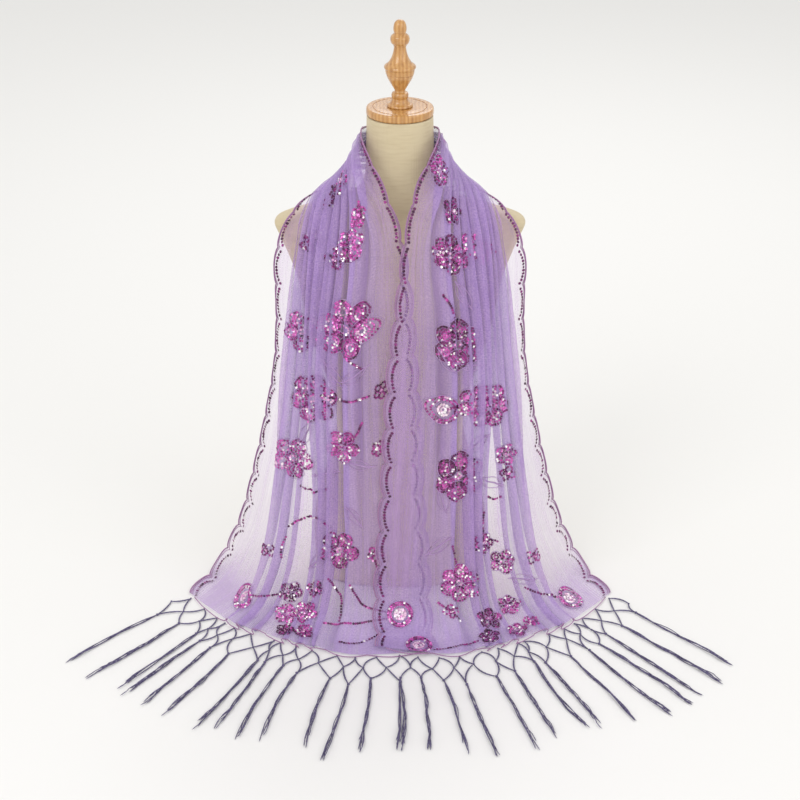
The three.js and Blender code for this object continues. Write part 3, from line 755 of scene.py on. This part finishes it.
# Leaves worked in cord alone: across, down, half length, half width and turn in radians.
LEAVES = {
    -1: [(120, 455, 20, 9, 0.5), (205, 455, 22, 9, -0.9), (300, 560, 22, 9, 1.2),
         (225, 620, 20, 8, 0.3), (130, 690, 20, 8, 2.2), (290, 330, 20, 9, 1.9),
         (110, 600, 18, 8, -0.4), (230, 770, 20, 9, 0.9)],
    1: [(120, 430, 20, 9, 0.9), (225, 440, 22, 9, 0.2), (240, 570, 20, 9, -0.6),
        (120, 660, 20, 8, 1.3), (280, 640, 20, 9, 0.5), (110, 740, 22, 9, 2.4),
        (210, 330, 20, 9, 1.1), (330, 820, 20, 9, 0.4)]}


def moved(x, y, cx, cy, turn):
    """Places turned about nought and moved to a centre."""
    return np.stack([cx + x * math.cos(turn) - y * math.sin(turn),
                     cy + x * math.sin(turn) + y * math.cos(turn)], -1)


def ellipse_rows(cx, cy, a, b, turn, scales):
    """Places spaced evenly along ellipses of one centre, one inside the other."""
    rows = []
    for scale in scales:
        count = max(1, int(round(2 * math.pi * scale * math.sqrt((a * a + b * b) / 2) / SEQUIN_STEP)))
        p = 2 * math.pi * (np.arange(count) + scale) / count
        rows.append(moved(a * scale * np.cos(p), b * scale * np.sin(p), cx, cy, turn))
    return np.concatenate(rows)


def embroidery(side, rng):
    """One half's sequins, as rows of place, motif's centre, tone and size, and the outlines
    corded round its petals with their motifs' centres. A flower's petals are ellipses turned
    round its middle, filled with rows of sequins that grow paler inward."""
    sequins, outlines, centres = [], [], []

    def sew(at, tone, spread, size=1.9, centre=None):
        middle = at if centre is None else np.broadcast_to(centre, at.shape)
        tones = np.clip(rng.normal(tone, spread, len(at)), 0, 0.97)
        sequins.append(np.column_stack([at, middle, tones, np.full(len(at), size)]))

    def outline(cx, cy, a, b, turn, centre=None, pointed=0.0):
        p = np.linspace(0, 2 * math.pi, 29)
        across = b * np.sin(p) * np.abs(np.sin(p)) ** pointed
        outlines.append(moved(a * np.cos(p), across, cx, cy, turn))
        centres.append(centre or (cx, cy))

    for x, y, radius, petals in FLOWERS[side]:
        start = rng.uniform(0, 2 * math.pi)
        flower_tone = rng.choice([0.36, 0.5, 0.62], p=[0.3, 0.4, 0.3])
        for k in range(petals):
            turn = start + 2 * math.pi * k / petals
            cx, cy = x + 0.6 * radius * math.cos(turn), y + 0.6 * radius * math.sin(turn)
            a, b = 0.38 * radius, 0.35 * radius
            petal_tone = flower_tone + rng.uniform(-0.15, 0.15)
            for row, scale in enumerate(np.arange(a, 1.2, -1.2 * SEQUIN_STEP) / a):
                sew(ellipse_rows(cx, cy, a, b, turn, (scale,)), petal_tone - 0.22 + 0.17 * row,
                    0.17, centre=(x, y))
            if radius > 15:
                outline(cx, cy, a + 2.6, b + 2.6, turn, (x, y))
        sew(ellipse_rows(x, y, 0.12 * radius, 0.12 * radius, 0, (1.0,)), 0.85, 0.05,
            centre=(x, y))
    for x, y, radius in ROUNDS[side]:
        sew(ellipse_rows(x, y, radius, radius, 0, (1.0, 0.8)), 0.5, 0.2, centre=(x, y))
        sew(ellipse_rows(x, y, radius, radius, 0, (0.42, 0.2)), 0.95, 0.06, 2.3, (x, y))
        outline(x, y, radius + 2.5, radius + 2.5, 0)
        outline(x, y, radius * 0.62, radius * 0.62, 0)
    for x, y, length, width, turn in LEAVES[side]:
        outline(x, y, length, width, turn, pointed=0.7)
        outline(x, y, length * 1.25, width * 0.06, turn)
    for stem in STEMS[side]:
        stem = np.array(stem, float)
        path = run_length(stem)
        sew(spline_weights(np.arange(0, path[-1], 4.6), path) @ stem, 0.22, 0.2, 2.0)
    sequins = np.concatenate(sequins)
    # Painted glints: about one sequin in twelve is turned near white.
    sequins[rng.random(len(sequins)) < 0.08, 4] = 1.0
    return sequins, np.array(outlines), np.array(centres, float)


def edge_sequins(side, rng):
    """A row of small dark sequins inside both scalloped edges, with a gap at each notch."""
    places, down = [], []
    for s in (0.0, NET_WIDTH):
        length = LENGTHS[side, s]
        d = np.arange(2.0, length[-1], EDGE_SEQUIN_STEP)
        phase = (d / SCALLOP_PITCH) % 1
        d = d[(phase > 0.05) & (phase < 0.97)]
        t = np.interp(d, length, TABLE_T)
        reach = scallop(t, side, s) - 9.5
        places.append(np.where(s > 0, s + reach, -reach))
        down.append(t)
    s, t = np.concatenate(places), np.concatenate(down)
    return s, t, np.clip(rng.normal(0.1, 0.1, len(s)), 0, 0.4)


def sewn(places, centres, side):
    """Cloth places (s, t) of embroidery given in millimetres on the hanging cloth: each
    motif keeps its true size, on the outermost layer of the pleats."""
    t = station_at(places[:, 1], side)
    middle_t = station_at(centres[:, 1], side)
    width = np.linalg.norm(ribbon(centres[:, 0] + 2, middle_t, side)
                           - ribbon(centres[:, 0] - 2, middle_t, side), axis=1) / 4
    place = centres[:, 0] + (places[:, 0] - centres[:, 0]) / np.clip(width, 0.35, 1.2)
    return outermost(np.clip(place, 3, NET_WIDTH - 3), t, side), t


def sew_embroidery(word, side, rng):
    """The sequins and petal cords of one half, laid on the net in its own directions."""
    motifs, outlines, centres = embroidery(side, rng)
    s, t = sewn(motifs[:, :2], motifs[:, 2:4], side)
    edge_s, edge_t, edge_tones = edge_sequins(side, rng)
    s, t = np.concatenate([s, edge_s]), np.concatenate([t, edge_t])
    tones = np.concatenate([motifs[:, 4], edge_tones])
    sizes = np.concatenate([motifs[:, 5], np.full(len(edge_s), 2.35)])
    verts, faces = discs(*frames(s, t, side), sizes, 0.22, rng)
    sequins = mesh_piece(f"sequins_{word}", verts, faces, SEQUIN_FILM,
                         values={"tone": np.repeat(tones, 9)}, smooth_faces=False)
    count = outlines.shape[1]
    s, t = sewn(outlines.reshape(-1, 2), np.repeat(centres, count, axis=0), side)
    at, _, _, out = frames(s, t, side)
    cords = (at + out * 0.7 * MM).reshape(len(outlines), count, 3)
    cords[:, 1:-1] = (cords[:, :-2] + 2 * cords[:, 1:-1] + cords[:, 2:]) / 4
    return sequins, cord_piece(f"petal_cords_{word}", [tubes(cords, 0.6 * MM)], MOTIF_CORD)


def fringe_way(place, side):
    """Direction on the surface in which the fringe runs from a place across the hem."""
    out = np.maximum(0, place - FRINGE_START[side]) / (NET_WIDTH - FRINGE_START[side])
    turn = FRINGE_FAN * out ** 0.9
    return np.stack([side * np.sin(turn), -np.cos(turn), 0 * turn], -1)


def bowed(start, end, sag, points=14):
    """Curves from each start to each end, pushed aside in a parabola by sag."""
    u = np.linspace(0, 1, points)[:, None]
    return start[:, None] * (1 - u) + end[:, None] * u + sag[:, None] * (4 * u * (1 - u))


def knots(at, radius):
    """Round knots of one radius, in millimetres: short cords as thick as a circle's sine, a
    little flattened."""
    b = np.linspace(0.25, math.pi - 0.25, 5)
    rise = np.stack([0 * b, 0 * b, 0.8 * np.cos(b)], -1)
    return tubes(at[:, None] + rise * radius * MM, radius * np.sin(b) * MM)


def fringe_knots(way, side, rng):
    """Three rows of knots and the tassels' tips. The first row is at the hem, the second lies
    between its knots and the third below them, each a little out of line."""
    at_hem = np.full(TASSELS, float(HEM))
    place = np.linspace(FRINGE_START[side], NET_WIDTH, TASSELS)
    hem = net(ungathered(place, at_hem), at_hem, side)[0] + way * KNOTS_AT[0] * MM
    hem[:, 2] = 1.6 * MM
    first = (hem[1:] + hem[:-1]) / 2 + (way[1:] + way[:-1]) / 2 * KNOTS_AT[1] * MM
    last = hem[-1:] + way[-1:] * 24 * MM + np.array([12 * side, 8, 0]) * MM
    first = np.concatenate([first, last])
    first += rng.normal(0, 2.2 * MM, first.shape) * (1, 1, 0)
    second = hem + way * (KNOTS_AT[2] * MM + rng.uniform(-9, 9, (TASSELS, 1)) * MM)
    second += rng.normal(0, 1.8 * MM, second.shape) * (1, 1, 0)
    longer = np.linspace(0, 1, TASSELS)[:, None] ** 3 * FRINGE_SPREAD[side]
    length = (FRINGE_LENGTH - 56 + longer + rng.uniform(-14, 8, (TASSELS, 1))) * MM
    drift = np.cross(way, (0, 0, 1.0)) * rng.normal(0, 4 * MM, (TASSELS, 1))
    tips = second + way * length + drift
    for row in (first, second, tips):
        row[:, 2] = 1.8 * MM
    return hem, first, second, tips


def netting(hem, first, second, rng):
    """Pairs of yarns that run aslant from knot to knot, each pair with its own slack."""
    parts = []
    for start, end in ((hem, first), (hem[1:], first[:-1]),
                       (first, second), (first[:-1], second[1:])):
        beside = np.cross(end - start, (0, 0, 1.0))
        slack = beside * rng.uniform(-0.16, 0.16, (len(start), 1))
        beside = normalised(beside) * 0.55 * MM
        parts += [tubes(bowed(start, end, slack + gap), 0.75 * MM) for gap in (-beside, beside)]
    return parts


def tassel_yarns(root, tip, way, rng, strands=6, points=40):
    """Yarns wound loosely round the line of each tassel, in helices that open towards its tip
    and wander; each tassel is bent a little to one side, in half a sine."""
    u = np.linspace(0, 1, points)
    root, tip = root[:, None, None], tip[:, None, None]
    spin = rng.uniform(0, 2 * math.pi, (TASSELS, strands, 1))
    spin = spin + rng.uniform(5, 11, (TASSELS, 1, 1)) * u
    wide = (0.6 + 1.1 * smooth(u * 6) + rng.uniform(0, 1.7, (TASSELS, strands, 1)) * u ** 3) * MM
    beside = np.cross(way, (0, 0, 1.0))[:, None, None]
    reach = u * rng.uniform(0.86, 1.04, (TASSELS, strands, 1))
    bend = rng.normal(0, 3.5 * MM, (TASSELS, 1, 1)) * np.sin(math.pi * u)
    wander = rng.normal(0, 0.7 * MM, (TASSELS, strands, 1)) * np.sin(7 * u + spin)
    aside = wide * np.sin(spin) + bend + wander
    path = root + (tip - root) * reach[..., None] + beside * aside[..., None]
    path[..., 2] = 1.0 * MM + wide * 0.8 * (1 + np.cos(spin)) * np.where(u > 0.9, 0.5, 1)
    return tubes(path.reshape(-1, points, 3), 0.66 * MM)


def fringe(word, side, rng):
    """Two rows of knotted netting and a row of tassels, lying fanned out on the surface."""
    way = fringe_way(np.linspace(FRINGE_START[side], NET_WIDTH, TASSELS), side)
    hem, first, second, tips = fringe_knots(way, side, rng)
    parts = [*netting(hem, first, second, rng), tassel_yarns(second, tips, way, rng),
             knots(hem, 1.7), knots(first, 1.9), knots(second, 2.5)]
    piece = cord_piece(f"fringe_{word}_yarn", parts, FRINGE_YARN)
    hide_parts(f"fringe_{word}")
    return piece


def hem_cord(side):
    """Cord along the scalloped hem."""
    s, t = np.linspace(0, NET_WIDTH, 300), np.full(300, float(HEM))
    swell = 1 + SCALLOP_DEPTH * np.abs(np.sin(math.pi * s / (NET_WIDTH / 8)))
    at = net(s, t, side)[0] + fringe_way(gathered(s, t), side) * (swell * MM)[:, None]
    at[:, 2] = np.maximum(at[:, 2], 1.2 * MM)
    return tubes(at[None], 0.8 * MM)


# ---- the model ----
form_torso()
turned("form_neck_cap_wood", CAP, CAP_BOTTOM, "form_neck_cap")
turned("form_finial_wood", FINIAL, FINIAL_BOTTOM, "form_finial")

rng = np.random.default_rng(11)
for word, side in SIDES.items():
    front = net_front(word, side)
    sequins, petals = sew_embroidery(word, side, rng)
    edge = cord_piece(f"edging_{word}_cord", [*edge_cords(side), hem_cord(side)], EDGE_CORD)
    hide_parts(f"edging_neck_{word}", f"edging_outer_{word}", f"edging_hem_{word}")
    yarn = fringe(word, side, rng)
net_back()


# ---- floor, light and camera ----
def stage():
    """A plain pale floor, an even pale sky and three soft lamps aimed at the form's middle."""
    bpy.ops.mesh.primitive_plane_add(size=30, location=(0, 0, -0.0004))
    floor = bpy.context.object
    floor.name = "floor"
    made, tree, inputs = material("pale_floor", Roughness=0.9)
    inputs["Base Color"].default_value = colour(237, 236, 234)
    floor.data.materials.append(made)
    world = bpy.data.worlds.new("pale_sky")
    bpy.context.scene.world = world
    world.use_nodes = True
    sky = world.node_tree.nodes["Background"].inputs
    sky["Color"].default_value = colour(252, 252, 251)
    sky["Strength"].default_value = 0.912
    for name, place, size, watts in (("key_lamp", (-1.6, -2.2, 2.6), 1.6, 26),
                                     ("fill_lamp", (2.0, -1.8, 1.8), 1.8, 12),
                                     ("back_lamp", (0.4, 2.2, 2.4), 1.6, 14)):
        lamp = bpy.data.lights.new(name, "AREA")
        lamp.energy, lamp.size = watts, size
        made = bpy.data.objects.new(name, lamp)
        made.location = place
        aim = np.array([0, 0, 0.4]) - place
        made.rotation_euler = (math.atan2(math.hypot(aim[0], aim[1]), -aim[2]), 0,
                               math.atan2(aim[1], aim[0]) - math.pi / 2)
        bpy.context.scene.collection.objects.link(made)


def camera():
    """Front view from 2.5 m, looking 27.3 degrees down through a 79.4 mm lens."""
    data = bpy.data.cameras.new("camera")
    data.lens, data.sensor_width = 79.4, 36.0
    made = bpy.data.objects.new("camera", data)
    made.location = (0, -2.5, 1.602)
    made.rotation_euler = (math.radians(90 - 27.3), 0, 0)
    bpy.context.scene.collection.objects.link(made)
    bpy.context.scene.camera = made


stage()
camera()
scene = bpy.context.scene
scene.view_settings.view_transform = "Standard"
scene.cycles.transparent_max_bounces = 48
